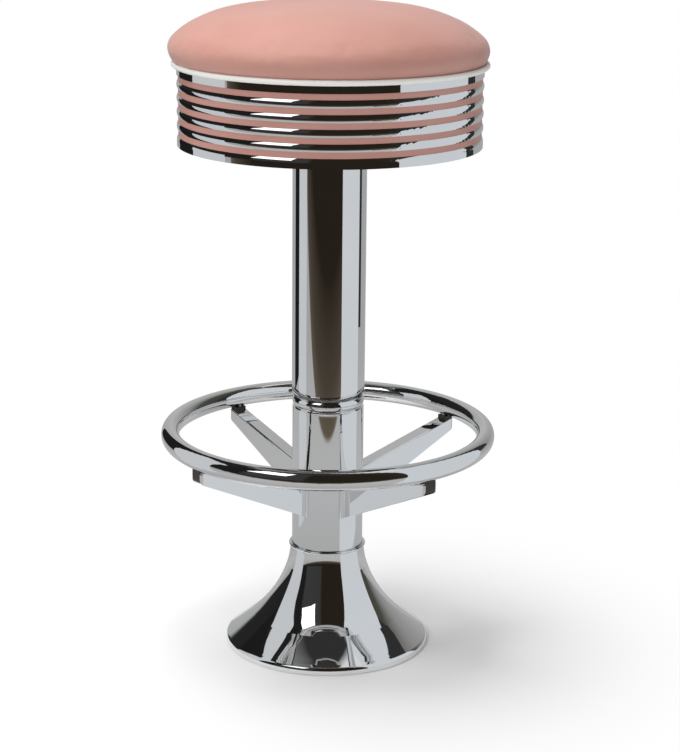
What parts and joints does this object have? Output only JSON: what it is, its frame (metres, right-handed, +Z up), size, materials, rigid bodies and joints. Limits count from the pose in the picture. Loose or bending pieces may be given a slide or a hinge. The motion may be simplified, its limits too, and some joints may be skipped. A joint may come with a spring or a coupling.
{
  "type": "counter stool",
  "caption": "Counter stool: a round padded seat with a ribbed metal drum revolves on a fixed column with a collar, a foot ring on channel arms and a bell base.",
  "frame": {"origin": "centre of the round base, on the floor", "axes": "+Z up along the column, which is also the seat's axis of turn; the arms lie between the X and Y axes; the band's seam faces +X"},
  "size_m": [0.409, 0.409, 0.791],
  "materials": {
    "polished_metal": "mirror polished plating",
    "machined_steel": "plain machined or zinc plated",
    "housing_iron": "black coated casting with machined bores",
    "cage_brass": "machined",
    "cap_plastic": "moulded, satin, very dark brown",
    "plywood": "raw plywood and softwood",
    "pink_inlay": "smooth, slightly glossy strip",
    "white_piping": "satin vinyl welt",
    "seat_foam": "open cell foam",
    "pink_vinyl": "smooth upholstery vinyl with a fine grain"
  },
  "bodies": {
    "pedestal": {"floor_plate": "machined_steel", "base_cover": "polished_metal", "lower_column": "polished_metal", "joint_collar": "polished_metal", "upper_column": "polished_metal", "tie_rod": "machined_steel", "tie_rod_washer": "machined_steel", "tie_rod_nut": "machined_steel", "bearing_housing": "housing_iron", "housing_retaining_ring": "machined_steel", "upper_bearing_outer_race": "machined_steel", "upper_bearing_balls": "machined_steel", "upper_bearing_cage": "cage_brass", "lower_bearing_outer_race": "machined_steel", "lower_bearing_balls": "machined_steel", "lower_bearing_cage": "cage_brass", "foot_ring": "polished_metal", "ring_arm_1": "polished_metal", "ring_arm_2": "polished_metal", "ring_arm_3": "polished_metal", "ring_arm_4": "polished_metal", "arm_screws": "machined_steel", "arm_end_caps": "cap_plastic", "ring_screws": "machined_steel"},
    "seat": {"trim_band": "polished_metal", "upper_bearing_inner_race": "machined_steel", "lower_bearing_inner_race": "machined_steel", "spindle": "machined_steel", "spindle_retaining_ring": "machined_steel", "race_spacer": "machined_steel", "seat_plate": "machined_steel", "flange_screws": "machined_steel", "seat_bolts": "machined_steel", "tee_nuts": "machined_steel", "band_screws": "machined_steel", "cushion_screws": "machined_steel", "cover_staples": "machined_steel", "base_board": "plywood", "spacer_blocks": "plywood", "drum_board": "plywood", "cushion_board": "plywood", "band_inlay_1": "pink_inlay", "band_inlay_2": "pink_inlay", "band_inlay_3": "pink_inlay", "band_inlay_4": "pink_inlay", "band_inlay_5": "pink_inlay", "piping": "white_piping", "foam_pad": "seat_foam", "seat_cover": "pink_vinyl"}
  },
  "joints": [
    {"name": "seat_swivel", "type": "hinge", "parent": "pedestal", "child": "seat", "pos_m": [0, 0, 0.6], "axis": [0, 0, 1], "continuous": true}
  ]
}
